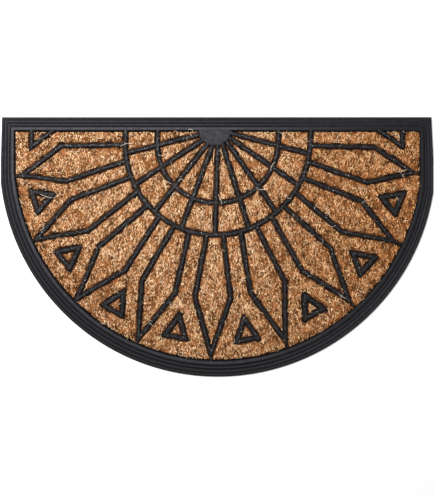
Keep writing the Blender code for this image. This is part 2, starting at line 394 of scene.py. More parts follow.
def makeCoirMaterial(name, look):
    sockets = {"Roughness": look["roughness"], "Specular IOR Level": fibreLook["gloss"]}
    material, tree, shader = newMaterial(name, **sockets)
    tone = addNode(tree, "ShaderNodeAttribute", (-1000, 200), attribute_name="tone")
    grain = placeMottle(tree, (-1000, 0), Scale=420.0, Detail=2.0, Low=0.2, High=0.8)
    vary = addNode(tree, "ShaderNodeMath", (-780, 120), operation="MULTIPLY_ADD")
    vary.inputs[1].default_value = fibreLook["grain"]
    lower = addNode(tree, "ShaderNodeMath", (-600, 120), operation="SUBTRACT")
    lower.inputs[1].default_value = fibreLook["grain"] / 2
    ramp = addRamp(tree, (-420, 200), look["ramp"])
    patches = placeMottle(tree, (-1000, -250), Scale=95.0, Detail=3.0, Low=0.42, High=0.72)
    warm = addNode(tree, "ShaderNodeAttribute", (-400, -250), attribute_name="warm")
    share = addNode(tree, "ShaderNodeMath", (-600, -200), operation="MULTIPLY")
    share.inputs[1].default_value = look["reddishMost"]
    stain = addNode(tree, "ShaderNodeMix", (-120, 100), data_type="RGBA", B=(*fibreLook["reddish"], 1))
    warmed = addNode(tree, "ShaderNodeMix", (60, 100), data_type="RGBA", B=(*fibreLook["warmth"], 1))
    warmed.blend_type = "MULTIPLY"
    linkAll(tree, (
        (grain, "Value", vary, 0),
        (tone, "Fac", vary, 2),
        (vary, "Value", lower, 0),
        (lower, "Value", ramp, "Fac"),
        (patches, "Value", share, 0),
        (warm, "Fac", warmed, "Factor"),
        (share, "Value", stain, "Factor"),
        (ramp, "Color", stain, "A"),
        (stain, "Result", warmed, "A"),
        (warmed, "Result", shader, "Base Color"),
    ))
    return material


coirFinish = makeCoirMaterial("coirFibre", coirLook)
paleFinish = makeCoirMaterial("paleFibre", paleLook)

rubberLook = {
    "dark": (0.0030, 0.0030, 0.0034),
    "greyFilmAndHighlight": (0.0570, 0.0570, 0.0655),
    "coirFilmAndHighlight": (0.0205, 0.0182, 0.0182),
    "speck": (0.1700, 0.1700, 0.1820),
    "roughness": 0.55,
    "gloss": 0.06,
    "grainHeight": 0.00012,
}


def makeRubberMaterial():
    sockets = {"Roughness": rubberLook["roughness"], "Specular IOR Level": rubberLook["gloss"]}
    material, tree, shader = newMaterial("rubberDustAndPaintedHighlight", **sockets)
    crown = addNode(tree, "ShaderNodeAttribute", (-1200, 300), attribute_name="crown")
    among = addNode(tree, "ShaderNodeAttribute", (-1200, 500), attribute_name="amongCoir")
    # among the coir the film is patchy, elsewhere it has settled evenly
    patchy = placeMottle(tree, (-1500, 100), Scale=340.0, Detail=3.0, Low=0.43, High=0.66)
    settled = placeMottle(tree, (-1500, -100), Scale=160.0, Detail=5.0, Low=0.0, High=1.08)
    film = addNode(tree, "ShaderNodeMix", (-1200, 0), data_type="FLOAT")
    # the crown share lays on a dust film and a painted highlight on the crests of the rubber
    dustAndHighlight = addNode(tree, "ShaderNodeMix", (-800, 450), data_type="RGBA", A=(*rubberLook["greyFilmAndHighlight"], 1))
    dustAndHighlight.inputs["B"].default_value = (*rubberLook["coirFilmAndHighlight"], 1)
    dustAndHighlightShare = addNode(tree, "ShaderNodeMath", (-900, 120), operation="MULTIPLY")
    filmedAndLit = addNode(tree, "ShaderNodeMix", (-600, 200), data_type="RGBA", A=(*rubberLook["dark"], 1))
    specks = placeMottle(tree, (-1200, -250), Scale=620.0, Detail=2.0, Low=0.59, High=0.67)
    speckShare = addNode(tree, "ShaderNodeMath", (-900, -150), operation="MULTIPLY")
    speckPlace = addNode(tree, "ShaderNodeMath", (-620, -50), operation="MULTIPLY")
    speckled = addNode(tree, "ShaderNodeMix", (-350, 200), data_type="RGBA", B=(*rubberLook["speck"], 1))
    grain = placeMottle(tree, (-1200, -450), Scale=900.0, Detail=4.0, Low=0.0, High=1.0)
    bump = addNode(tree, "ShaderNodeBump", (-400, -200), Distance=rubberLook["grainHeight"], Strength=0.8)
    linkAll(tree, (
        (among, "Fac", dustAndHighlight, "Factor"),
        (crown, "Fac", dustAndHighlightShare, 0),
        (settled, "Value", film, "A"),
        (patchy, "Value", film, "B"),
        (among, "Fac", film, "Factor"),
        (film, "Result", dustAndHighlightShare, 1),
        (dustAndHighlightShare, "Value", filmedAndLit, "Factor"),
        (dustAndHighlight, "Result", filmedAndLit, "B"),
        (crown, "Fac", speckShare, 0),
        (specks, "Value", speckShare, 1),
        (speckShare, "Value", speckPlace, 0),
        (among, "Fac", speckPlace, 1),
        (speckPlace, "Value", speckled, "Factor"),
        (filmedAndLit, "Result", speckled, "A"),
        (speckled, "Result", shader, "Base Color"),
        (grain, "Value", bump, "Height"),
        (bump, "Normal", shader, "Normal"),
    ))
    return material


rubberFinish = makeRubberMaterial()
print("finishes made: coir, pale hairs, rubber")

# The rubber moulding: tray, ribs and hub in one mesh.
moulding = {
    "arcSteps": 220,
    "sideSteps": 4,
    "edgeSteps": 60,
    "borderDust": 0.18,  # what lies even in the grooves of the border
    # towards the right the ridges are painted nearly even: painted light in their grooves, against the
    # shade there, and how much less on crests
    "evenPaintedLight": (0.74, 0.30),
    "evenMost": 0.95,
    "evenRise": (0.05, 0.20),
    # the crowns carry dust and painted highlight everywhere, and a painted highlight that grows towards the
    # upper left, where the key light falls strongest: the least share, and how much more there is there
    "filmLeast": 0.52,
    "upperLeftPaintedLight": 0.43,
    "paintedLightLeftRise": (-0.04, 0.35),
    "paintedLightUpRise": (-0.10, 0.30),
    # the border's section from its outer edge inwards: share of its width, height, how dusty, the crests
    # taking dust and a painted highlight
    "border": (
        (0.000, 0.0000, 0.0),
        (0.000, 0.0022, 0.0),
        (0.010, 0.0028, 0.0),
        (0.030, 0.0033, 0.1),
        (0.090, 0.0037, 0.4),
        (0.140, 0.0037, 0.5),
        (0.170, 0.0032, 0.0),
        (0.195, 0.0028, 0.0),
        (0.220, 0.0034, 0.0),
        (0.250, 0.0044, 0.1),
        (0.280, 0.0050, 0.6),
        (0.325, 0.0051, 0.8),
        (0.365, 0.0047, 0.3),
        (0.395, 0.0040, 0.0),
        (0.430, 0.0037, 0.0),
        (0.460, 0.0044, 0.0),
        (0.490, 0.0057, 0.1),
        (0.520, 0.0063, 0.7),
        (0.570, 0.0064, 0.8),
        (0.605, 0.0059, 0.3),
        (0.640, 0.0050, 0.0),
        (0.690, 0.0050, 0.0),
        (0.708, 0.0066, 0.0),
        (0.725, 0.0082, 0.2),
        (0.745, 0.0091, 0.8),
        (0.775, 0.0095, 1.2),
        (0.890, 0.0095, 1.2),
        (0.920, 0.0092, 0.8),
        (0.950, 0.0084, 0.1),
        (0.975, 0.0072, 0.0),
        (0.990, 0.0062, 0.0),
        (0.990, 0.0020, 0.0),
    ),
    # half of a rib's section from its foot to its crown: share of the half width, height, how dusty, the
    # crown taking dust and a painted highlight
    "rib": (
        (1.00, 0.0042, 0.0),
        (1.00, 0.0060, 0.0),
        (0.93, 0.0072, 0.0),
        (0.80, 0.0080, 0.05),
        (0.60, 0.0087, 0.4),
        (0.36, 0.0091, 0.9),
        (0.00, 0.0093, 1.0),
    ),
    "ribSeed": 40,
    "ribStep": 0.0025,
    "ribWobble": (0.00022, 0.004),  # how far a rib's side wanders, and in swells of what size
    "crownWobble": (0.00012, 0.009),
    "crownFrom": 0.0065,  # the height above which a rib's crown is uneven
    # the hub from its rim to its middle: share of the radius, height, how dusty, the top taking dust and a
    # painted highlight
    "hub": (
        (1.000, 0.0042, 0.0),
        (0.997, 0.0072, 0.0),
        (0.985, 0.0082, 0.1),
        (0.960, 0.0089, 0.3),
        (0.910, 0.0093, 0.5),
        *((share, 0.0095, 0.8) for share in np.linspace(0.85, 0.02, 16)),
    ),
    "hubSteps": 80,
    "hubScallops": (0.02, 9),  # how uneven its rim is, and how often in a turn
    "hubUneven": (0.00022, 0.0035, 71),  # how much, cell, seed
    "hubUnevenFrom": 0.008,
    "hubPatches": (0.30, 0.0030, 72),  # of the dust on it
    "hubStreaks": 0.16,  # and how much it streaks outwards
    "streakTurns": ((23, 0), (37, 1)),
}


def borderLine(share):
    # points round the border, anticlockwise, from its outer edge (share 0) to the opening (share 1)
    radius = blend(mat["radius"], mat["openingRadius"], share)
    x, y = (blend(outer, inner, share) for outer, inner in zip(mat["centre"], mat["openingCentre"]))
    left, right = (blend(outer, inner, share) for outer, inner in zip(mat["sides"], mat["openingSides"]))
    top = mat["straightEdge"] - mat["topBorder"] * share
    corners = left + mat["cornerInsets"][0] * (1 - share), right - mat["cornerInsets"][1] * (1 - share)
    angles = np.linspace(math.pi, 2 * math.pi, moulding["arcSteps"] + 1)
    arc = np.stack([np.clip(x + radius * np.cos(angles), left, right), y + radius * np.sin(angles)], axis=1)
    # the straight sides and the straight edge get points of their own
    parts = np.arange(1, moulding["sideSteps"]) / moulding["sideSteps"]
    down = [(blend(corners[0], left, part), blend(top, y, part)) for part in parts]
    up = [(blend(right, corners[1], part), blend(y, top, part)) for part in parts]
    parts = np.linspace(0, 1, moulding["edgeSteps"] + 1)
    edge = [(blend(corners[1], corners[0], part), top) for part in parts]
    return np.concatenate([edge, down, arc, up])


def trayPart():
    rows, crowns = [], []
    for share, height, dustAndHighlight in moulding["border"]:
        line = borderLine(share)
        rows.append(np.column_stack([line, np.full(len(line), height)]))
        # towards the right the grooves get painted light against their shade, the crests less
        even = moulding["evenMost"] * rise(line[:, 0], *moulding["evenRise"])
        evenedByPaintedLight = moulding["evenPaintedLight"][0] - moulding["evenPaintedLight"][1] * min(dustAndHighlight, 1.0)
        crowns.append(blend(max(dustAndHighlight, moulding["borderDust"]), evenedByPaintedLight, even))
    columns = len(rows[0])
    points = np.concatenate(rows)
    faces = rowsToFaces(len(rows), columns, wrap=True)
    # the backing's top and underside, as fans from two middle points
    middle = np.array([[0.0, 0.0, mat["backingTop"]], [0.0, 0.0, 0.0]])
    last = len(points) - columns
    ring = np.arange(columns)
    following = (ring + 1) % columns
    above = np.stack([last + ring, last + following, np.full(columns, len(points))], axis=1)
    below = np.stack([following, ring, np.full(columns, len(points) + 1)], axis=1)
    points = np.concatenate([points, middle])
    return points, faces, np.concatenate([above, below]), np.concatenate(crowns + [np.zeros(2)])


def ribPart(line, width, seed):
    closed = np.allclose(line[0], line[-1])
    # directions into and out of each corner, and the mitred side of each
    steps = np.diff(line, axis=0)
    sides = np.stack([-steps[:, 1], steps[:, 0]], axis=1) / np.hypot(*steps.T)[:, None]
    before = np.concatenate([sides[-1:] if closed else sides[:1], sides])
    after = np.concatenate([sides, sides[:1] if closed else sides[-1:]])
    middles = before + after
    middles /= np.hypot(*middles.T)[:, None]
    mitres = middles / (middles * before).sum(1)[:, None]
    # points between the corners
    places, across = [], []
    for index, step in enumerate(steps):
        count = max(2, int(np.hypot(*step) / moulding["ribStep"]))
        for share in np.arange(count) / count:
            places.append(line[index] + step * share)
            across.append(mitres[index] if share == 0 else sides[index])
    places.append(line[-1])
    across.append(mitres[-1])
    places, across = np.array(places), np.array(across)
    half = np.array(moulding["rib"])
    section = np.concatenate([half * (-1, 1, 1), half[-2::-1]])
    count = len(section)
    base = places[:, None, :] + across[:, None, :] * (section[:, 0] * width / 2)[None, :, None]
    flat = base.reshape(-1, 2)
    most, cell = moulding["ribWobble"]
    wobble = softNoise(flat, cell, seed) * most
    outward = np.tile(np.abs(section[:, 0]), len(places))
    shift = wobble[:, None] * np.repeat(across, count, axis=0) * outward[:, None]
    most, cell = moulding["crownWobble"]
    heights = np.tile(section[:, 1], len(places))
    heights = heights + np.where(heights > moulding["crownFrom"], softNoise(flat, cell, seed + 1) * most, 0)
    points = np.column_stack([flat + shift, heights])
    faces = rowsToFaces(len(places), count)[:, ::-1]
    return points, faces, np.tile(section[:, 2], len(places))


def hubPart():
    angles = np.linspace(0, -math.pi, moulding["hubSteps"] + 1)
    middle = hubEnds.mean(axis=0)
    scallop, often = moulding["hubScallops"]
    waves = [np.sin(angles * turns + ahead) for turns, ahead in moulding["streakTurns"]]
    rows, crowns = [], []
    for share, height, dustAndHighlight in moulding["hub"]:
        radius = share * sunburst["hubRadius"] * (1 + scallop * np.sin(angles * often) * share)
        across = middle[0] + radius * sunburst["hubStretch"] * np.cos(angles)
        flat = np.stack([across, middle[1] + radius * np.sin(angles)], axis=1)
        uneven = swells(flat, [moulding["hubUneven"]]) * (height > moulding["hubUnevenFrom"])
        rows.append(np.column_stack([flat, height + uneven]))
        streaks = moulding["hubStreaks"] * (share * np.mean(waves, axis=0))
        crowns.append(dustAndHighlight * (1 + (swells(flat, [moulding["hubPatches"]]) + streaks)))
    return np.concatenate(rows), rowsToFaces(len(rows), len(angles))[:, ::-1], np.concatenate(crowns)


def makeMoulding():
    points, quads, fans, crowns = trayPart()
    parts = [(points, quads, crowns)]
    for seed, (line, width) in enumerate(ribs, moulding["ribSeed"]):
        parts.append(ribPart(line, width, seed))
    parts.append(hubPart())
    starts = np.cumsum([0] + [len(part[0]) for part in parts])
    points = np.concatenate([part[0] for part in parts])
    quads = np.concatenate([part[1] + start for part, start in zip(parts, starts)])
    # a painted highlight on the crowns, growing towards the upper left where the key light falls
    litFromLeft = 1 - rise(points[:, 0], *moulding["paintedLightLeftRise"])
    litTowardsTop = rise(points[:, 1], *moulding["paintedLightUpRise"])
    film = moulding["filmLeast"] + moulding["upperLeftPaintedLight"] * litFromLeft * litTowardsTop
    crown = np.concatenate([part[2] for part in parts]) * film
    # all that is listed between the tray and the hub is among the coir
    amongCoir = np.zeros(len(points))
    amongCoir[starts[1]:starts[-2]] = 1.0
    layers = [("crown", crown), ("amongCoir", amongCoir)]
    piece = meshFrom("rubberMoulding", points, [quads, fans], rubberFinish, layers)
    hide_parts("rubber_moulding")


makeMoulding()

# The weave of the coir: upright loops in staggered rows, where two slanting waves meet.
weave = {
    # each wave in turns: at the origin, for each metre right and up, and its bow
    "waves": (
        (-0.104, -35.59, -18.87, -0.6, -6.3, -5.6),
        (0.373, 33.63, -19.58, 0.9, 7.0, -9.9),
    ),
    "stray": 0.05,  # turns
    "strayCell": 0.018,
    "seed": 23,
    "floor": -0.75,
    "height": 0.00025,
    # how much lighter the crests of the loops are: a painted highlight on them and painted shade between
    # them
    "tone": 0.21,
    "comb": 0.5,  # how much tidier the nap lies on a loop
}


def weaveLift(points):
    # 1 on the crest of a loop, down to the floor of the shade between the loops
    x, y = points.T
    terms = np.stack([np.ones(len(x)), x, y, x * x, x * y, y * y])
    lift = np.zeros(len(x))
    for seed, wave in enumerate(weave["waves"], weave["seed"]):
        turns = np.array(wave) @ terms + weave["stray"] * softNoise(points, weave["strayCell"], seed)
        lift += np.cos(2 * math.pi * turns) / 2
    return np.maximum(lift, weave["floor"])


# The bed of the coir: one sheet that runs on under the ribs and stands up as a lumpy pad between them.
bed = {
    "across": (-0.356, 0.360),
    "along": (-0.202, 0.206),
    "fanMiddle": (0.0, 0.05),  # of the fan below it
    "pitch": 0.0022,
    "slideShare": 0.6,  # of the pitch: how far a point slides to the edge of a pad
    "underside": 0.0023,
    "grooveHeight": 0.0041,
    "padHeight": 0.0078,
    "rimDrop": 0.0022,
    "rimReach": 0.0020,
    "rimRoom": 0.0014,  # from the rubber to the edge of a pad
    "wallShare": 0.7,  # of that room: where the wall of a pad stands
    "edgeRoom": 0.0002,
    "lumps": 0.0003,
    "lumpSwells": ((1, 0.005, 3), (0.7, 0.0024, 4)),
    "gapPaintedShade": -0.05,  # painted shade in the gap beside the rubber
    # the bed's tone under the pile, painted dark as painted shade deep in the pile
    "padTone": 0.15,
    "toneRise": (0.003, 0.0015),
    "toneSwell": (0.03, 0.006, 8),
}


def bedHeight(points, room):
    lumps = bed["lumps"] * swells(points, bed["lumpSwells"])
    lumps += weave["height"] * weaveLift(points)
    rim = bed["rimDrop"] * np.exp(-np.maximum(room - bed["rimRoom"], 0) / bed["rimReach"])
    onPad = room > bed["rimRoom"] * bed["wallShare"]
    return np.where(onPad, bed["padHeight"] - rim + lumps, bed["grooveHeight"])


def makeBed():
    xs = np.arange(*bed["across"], bed["pitch"])
    ys = np.arange(*bed["along"], bed["pitch"])
    points = np.stack(np.meshgrid(xs, ys), axis=-1).reshape(-1, 2)
    room, way = openSpace(points)
    # points near the edge of a pad slide onto it, so that the edges run clean
    slide = bed["rimRoom"] - room
    near = np.abs(slide) < bed["pitch"] * bed["slideShare"]
    points[near] += way[near] * slide[near, None]
    room = openSpace(points)[0]
    inside = openingSpace(points)[0] > bed["edgeRoom"]
    faces = rowsToFaces(len(ys), len(xs))
    faces = faces[inside[faces].all(1)]
    top = np.column_stack([points, bedHeight(points, room)])
    # walls down to the backing round the edge, closed below by a fan
    sides = np.concatenate([faces[:, [k, (k + 1) % 4]] for k in range(4)])
    keys = np.sort(sides, axis=1) @ (len(points), 1)
    first, times = np.unique(keys, return_index=True, return_counts=True)[1:]
    rim = sides[first[times == 1]]
    lower = np.column_stack([points, np.full(len(points), bed["underside"])])
    walls = np.stack([rim[:, 1], rim[:, 0], rim[:, 0] + len(points), rim[:, 1] + len(points)], axis=1)
    middle = np.full(len(rim), 2 * len(points))
    below = np.stack([rim[:, 1] + len(points), rim[:, 0] + len(points), middle], axis=1)
    corners = np.concatenate([faces.ravel(), walls.ravel(), below.ravel()])
    used, index = np.unique(corners, return_inverse=True)
    every = np.concatenate([top, lower, [(*bed["fanMiddle"], bed["underside"])]])[used]
    split = 4 * (len(faces) + len(walls))
    shapes = [index[:split].reshape(-1, 4), index[split:].reshape(-1, 3)]
    # the bed's tone rises from painted shade beside the rubber to the pad's dark tone
    share = rise(openSpace(every[:, :2])[0], *bed["toneRise"])
    tone = blend(bed["gapPaintedShade"], bed["padTone"], share) + swells(every, [bed["toneSwell"]])
    piece = meshFrom("coirBed", every, shapes, coirFinish, [("tone", tone)])
    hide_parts("coir_matting")
    return piece


coirBed = makeBed()

# The pile: short curly fibres in small tufts that share a lean and a tone. Spread and curl are in degrees,
# and shaded is the share of a layer's tufts that are dark threads of husk.
# Each deeper layer has a lower tone, as painted shade deep in the pile.
piles = {
    "coirPileDeep": {
        "seed": 11, "tufts": 11000, "segments": 2, "tone": 0.27,
        "lift": -0.0002, "width": 0.00062, "length": 0.0080, "spread": 36, "curl": 60, "pits": -0.85,
    },
    "coirPileLower": {
        "seed": 12, "tufts": 15800, "segments": 2, "tone": 0.475,
        "lift": 0.0003, "width": 0.00054, "length": 0.0050, "spread": 24, "curl": 60, "pits": -0.73,
    },
    "coirPileUpper": {
        "seed": 13, "tufts": 15800, "segments": 2, "tone": 0.595, "shaded": 0.10,
        "lift": 0.0007, "width": 0.00050, "length": 0.0047, "spread": 24, "curl": 70, "pits": -0.71,
    },
    "coirPileTips": {
        "seed": 14, "tufts": 8000, "segments": 4, "tone": 0.675, "shaded": 0.10,
        "lift": 0.0010, "width": 0.00044, "length": 0.0068, "spread": 30, "curl": 150, "pits": -0.68,
    },
}
tuft = {
    "field": ((-0.352, -0.199), (0.356, 0.203)),  # the corners of the field that is sown
    "rootRoom": 0.0009,
    "fibres": 3,
    "across": 0.00026,
    "along": 0.0006,
    "leanStray": 9,
    "curlStray": 0.35,  # of the layer's curl
    "kink": 0.12,
    "lengths": (0.6, 1.25),
    "widths": (0.7, 1.25),
    "taper": 0.55,
    "roll": 35,
    "twist": 25,
    "arch": 0.0008,
    "arches": (0.3, 1.3),
    "dip": 0.0012,
    "heightStray": 0.00015,
    # tones
    "toneSpread": 0.33,
    "fibreTone": 0.31,
    "shade": 0.42,  # of the threads of husk
    # painted shade on the fibres beside the rubber, and how far it reaches
    "rimPaintedShade": -0.10,
    "rimReach": 0.0012,
    "endTone": -0.22,
    "drift": ((0.12, 0.060, 31), (0.13, 0.010, 32)),
    # room from the rubber
    "crossing": -0.0012,
    "drawnIn": 0.5,
    "drawIns": 3,
    "margin": 0.0023,
    "borderMargin": 0.0016,
    "marginStray": 0.0003,
    "overlap": -0.0003,  # a fibre that still goes further over the rubber is left out
    # pits without roots, and winding slits that get painted shade or are left open
    "pitCell": 0.0015,
    "pitSeed": 51,
    "slitCell": 0.0014,
    "slitSeed": 53,
    "slitStretch": 0.38,  # the slits are this much narrower than long
    "slits": -0.43,
    "slitEdge": 0.15,
    "slitShare": 0.5,
    "slitPaintedShade": -0.65,
    "swirls": ((0.0022, 0.006, 54), (0.0022, 0.006, 55)),
}
# how the nap lies: the way in degrees, and how it swerves
nap = {"heading": 90, "swerves": ((22, 0.055, 21), (14, 0.016, 22))}
# the coir is painted palest in the middle and darker towards the sides and the round edge, as painted shade
# where the key light falls off, and it is warmer to the right
falloffAndWarmth = {
    "paler": 0.06,
    "sides": 0.10,
    "sidesMiddle": 0.01,
    "sidesReach": 0.29,
    "right": 0.025,
    "rightRise": (0, 0.25),
    "low": 0.15,
    "lowRise": (-0.04, 0.16, 1.2),
    "warmRise": (0.04, 0.26),
}


def paintedFalloff(points):
    x, y = points.T
    sides = falloffAndWarmth["sides"] * ((x - falloffAndWarmth["sidesMiddle"]) / falloffAndWarmth["sidesReach"]) ** 2
    sides += falloffAndWarmth["right"] * rise(x, *falloffAndWarmth["rightRise"])
    return falloffAndWarmth["paler"] - sides - falloffAndWarmth["low"] * rise(-y, *falloffAndWarmth["lowRise"])


def seedPoints(count, rng, least, pits):
    # roots in the open pads, none of them in the pits of the pile
    found = np.zeros((0, 2))
    while len(found) < count:
        tries = rng.uniform(*tuft["field"], (count * 2, 2))
        tries = tries[softNoise(tries, tuft["pitCell"], tuft["pitSeed"]) > pits]
        found = np.concatenate([found, tries[openSpace(tries)[0] > least]])
    return found[:count]


def ribbons(paths, widths, rolls):
    # a flat ribbon along each path, rolled and twisted about it
    run = np.gradient(paths, axis=1)
    run /= np.maximum(np.linalg.norm(run, axis=2, keepdims=True), 1e-9)
    left = np.cross(np.array([0.0, 0.0, 1.0]), run)
    left /= np.maximum(np.linalg.norm(left, axis=2, keepdims=True), 1e-9)
    up = np.cross(run, left)
    side = left * np.cos(rolls)[..., None] + up * np.sin(rolls)[..., None]
    half = side * (widths / 2)[..., None]
    points = np.stack([paths + half, paths - half], axis=2)
    count, places = paths.shape[:2]
    start = (np.arange(count) * places * 2)[:, None] + np.arange(places - 1) * 2
    faces = np.stack([start, start + 1, start + 3, start + 2], axis=-1).reshape(-1, 4)
    return points.reshape(-1, 3), faces


def walk(middles, ways, steps):
    # plan paths about their middles, with a step along each way
    moves = np.stack([np.cos(ways), np.sin(ways)], axis=-1) * steps[:, None, None]
    plan = np.concatenate([np.zeros((len(middles), 1, 2)), np.cumsum(moves, axis=1)], axis=1)
    return plan + (middles - plan.mean(1))[:, None, :]


def alongRibbons(values, widths):
    # the value at each place on a ribbon's path, given to both points there
    return np.repeat(np.broadcast_to(values, widths.shape).ravel(), 2)


def keepClear(plan, rng):
    # fibres that would cross the rubber are drawn in, and all are pushed off it
    count = len(plan)
    for attempt in range(tuft["drawIns"]):
        room = openSpace(plan.reshape(-1, 2))[0].reshape(count, -1)
        crossing = (room < tuft["crossing"]).any(1)
        centre = plan.mean(1, keepdims=True)
        plan[crossing] = centre[crossing] + (plan[crossing] - centre[crossing]) * tuft["drawnIn"]
    flat = plan.reshape(-1, 2)
    room, way = openSpace(flat)
    margin = np.where(openingSpace(flat)[0] > room, tuft["margin"], tuft["borderMargin"])
    push = np.maximum(margin + tuft["marginStray"] * rng.random(len(flat)) - room, 0)
    return flat + way * push[:, None]


def slitShade(points):
    # narrow winding slits between the fibres, along the nap: 1 in their depth, 0 outside
    swirl = np.column_stack([swells(points, [term]) for term in tuft["swirls"]])
    slits = softNoise((points + swirl) * (1, tuft["slitStretch"]), tuft["slitCell"], tuft["slitSeed"])
    return np.clip((tuft["slits"] - slits) / tuft["slitEdge"], 0, 1)


def makePile(name, look):
    rng = np.random.default_rng(look["seed"])
    tufts, each, segments = look["tufts"], tuft["fibres"], look["segments"]
    roots = seedPoints(tufts, rng, tuft["rootRoom"], look["pits"])
    loops = weaveLift(roots)
    lean = swells(roots, nap["swerves"], nap["heading"])
    lean = lean + rng.normal(0, look["spread"], tufts) * (1 - weave["comb"] * loops)
    lean += np.where(rng.random(tufts) < 0.5, 180, 0)
    tones = rng.normal(0, tuft["toneSpread"], tufts) + weave["tone"] * loops
    tones -= tuft["shade"] * (rng.random(tufts) < look.get("shaded", 0))
    tuftCurls = rng.normal(0, look["curl"], tufts)
    # each fibre strays from its tuft, and keeps turning along its way
    count = tufts * each
    lean = np.radians(np.repeat(lean, each) + rng.normal(0, tuft["leanStray"], count))
    curl = np.repeat(tuftCurls, each) + rng.normal(0, look["curl"] * tuft["curlStray"], count)
    curl = np.radians(curl) / segments
    ahead = np.stack([np.cos(lean), np.sin(lean)], axis=1)
    beside = np.stack([-ahead[:, 1], ahead[:, 0]], axis=1)
    start = np.repeat(roots, each, axis=0) + beside * rng.normal(0, tuft["across"], count)[:, None]
    start += ahead * rng.normal(0, tuft["along"], count)[:, None]
    step = look["length"] * rng.uniform(*tuft["lengths"], count) / segments
    kinks = rng.normal(0, tuft["kink"], (count, segments))
    bends = np.cumsum(curl[:, None] * np.ones(segments) + kinks, axis=1)
    plan = walk(start, lean[:, None] + bends - bends.mean(1, keepdims=True), step)
    flat = keepClear(plan, rng)
    plan, room = flat.reshape(count, -1, 2), openSpace(flat)[0].reshape(count, -1)
    shade = slitShade(flat).reshape(count, -1)
    kept = (room > tuft["overlap"]).all(1) & ((shade > 0).mean(1) < tuft["slitShare"])
    # heights: up out of the bed, over, and back into it
    share = np.linspace(0, 1, segments + 1)
    ends = np.abs(2 * share - 1)
    arch = tuft["arch"] * rng.uniform(*tuft["arches"], count)[:, None] * np.sin(math.pi * share)
    height = bedHeight(flat, np.maximum(room.ravel(), bed["rimRoom"])).reshape(count, -1)
    height = height + look["lift"] + arch - tuft["dip"] * (ends ** 3)
    height = height + rng.normal(0, tuft["heightStray"], (count, 1))
    paths = np.concatenate([plan, height[..., None]], axis=-1)
    # tones: by layer, tuft, fibre and place on the mat, with painted shade at the rims beside the rubber
    # and in the slits, and darker at the ends
    middle = roots.repeat(each, axis=0)
    tone = look["tone"] + np.repeat(tones, each) + rng.normal(0, tuft["fibreTone"], count)
    # with painted shade where the key light falls off towards the sides and the bottom
    tone += swells(middle, tuft["drift"]) + paintedFalloff(middle)
    rim = tuft["rimPaintedShade"] * np.exp(-np.maximum(room, 0) / tuft["rimReach"])
    tone = tone[:, None] + rim + tuft["endTone"] * ends ** 2 + tuft["slitPaintedShade"] * shade
    widths = look["width"] * rng.uniform(*tuft["widths"], count)[:, None] * (1 - tuft["taper"] * ends ** 2)
    rolls = rng.normal(0, tuft["roll"], count)[:, None]
    rolls = np.radians(rolls + rng.normal(0, tuft["twist"], count)[:, None] * (share - 0.5))
    paths, widths, rolls, tone = paths[kept], widths[kept], rolls[kept], tone[kept]
    points, faces = ribbons(paths, widths, rolls)
    layers = [("tone", alongRibbons(tone, widths)), ("warm", rise(points[:, 0], *falloffAndWarmth["warmRise"]))]
    piece = meshFrom(name, points, [faces], coirFinish, layers)
    return piece


pileParts = [makePile(name, look) for name, look in piles.items()]

# Loose fibres: curls of coir, pale stray hairs and lint. Bends, kinks and rolls are in radians.
looseTaper = 0.5
looseWidths = (0.8, 1.2)


def wander(look, starts, rng):
    # plan paths that set out any way and keep turning, with a kink at each part
    count, segments = look["count"], look["segments"]
    bends = rng.normal(0, look["bend"], (count, 1)) if "bend" in look else 0
    bends = bends + rng.normal(0, look["kink"], (count, segments))
    ways = rng.uniform(0, 2 * math.pi, count)[:, None] + np.cumsum(bends, axis=1)
    return walk(starts, ways, rng.uniform(*look["length"], count) / segments)


def clearOfBorder(look, plan):
    room = openingSpace(plan.reshape(-1, 2))[0].reshape(len(plan), -1)
    return (room > look["borderRoom"]).all(1)


def taperedWidths(look, share, count, rng):
    taper = 1 - looseTaper * np.abs(2 * share - 1)[None] ** 3
    return look["width"] * taper * rng.uniform(*looseWidths, (count, 1))


curls = {
    "seed": 60,
    "count": 2000,
    "segments": 7,
    "width": 0.00040,
    "length": (0.005, 0.014),
    "bend": 0.42,
    "kink": 0.16,
    "roll": 0.4,
    "rootRoom": 0.0010,
    "pits": -0.2,
    "borderRoom": -0.001,
    "mostOver": 2,  # points of a curl that may lie over the rubber
    "lift": 0.0012,
    "arch": 0.0007,
    "overRoom": 0.0004,  # this near to the rubber a curl is lifted over it
    "overHeight": 0.0097,
    "tones": (0.86, 0.10),  # of the bleached ones, and of the dark ones
    "bleached": 0.6,
    "toneSpread": 0.10,
}


def makeCurls():
    # single golden fibres that curl up out of the pads
    rng = np.random.default_rng(curls["seed"])
    plan = wander(curls, seedPoints(curls["count"], rng, curls["rootRoom"], curls["pits"]), rng)
    flat = plan.reshape(-1, 2)
    share = np.linspace(0, 1, curls["segments"] + 1)
    room = openSpace(flat)[0]
    height = bedHeight(flat, np.maximum(room, bed["rimRoom"])).reshape(len(plan), -1)
    height = height + curls["lift"] + curls["arch"] * np.sin(math.pi * share)
    room = room.reshape(len(plan), -1)
    height = np.maximum(height, np.where(room < curls["overRoom"], curls["overHeight"], 0))
    kept = clearOfBorder(curls, plan) & ((room < 0).sum(1) <= curls["mostOver"])
    paths = np.concatenate([plan, height[..., None]], axis=-1)[kept]
    widths = taperedWidths(curls, share, len(paths), rng)
    points, faces = ribbons(paths, widths, rng.normal(0, curls["roll"], (len(paths), 1)))
    bleached, dark = curls["tones"]
    tone = np.where(rng.random((len(paths), 1)) < curls["bleached"], bleached, dark)
    tone = tone + rng.normal(0, curls["toneSpread"], (len(paths), 1))
    piece = meshFrom("coirCurls", points, [faces], coirFinish, [("tone", alongRibbons(tone, widths))])
    return piece


coirCurls = makeCurls()

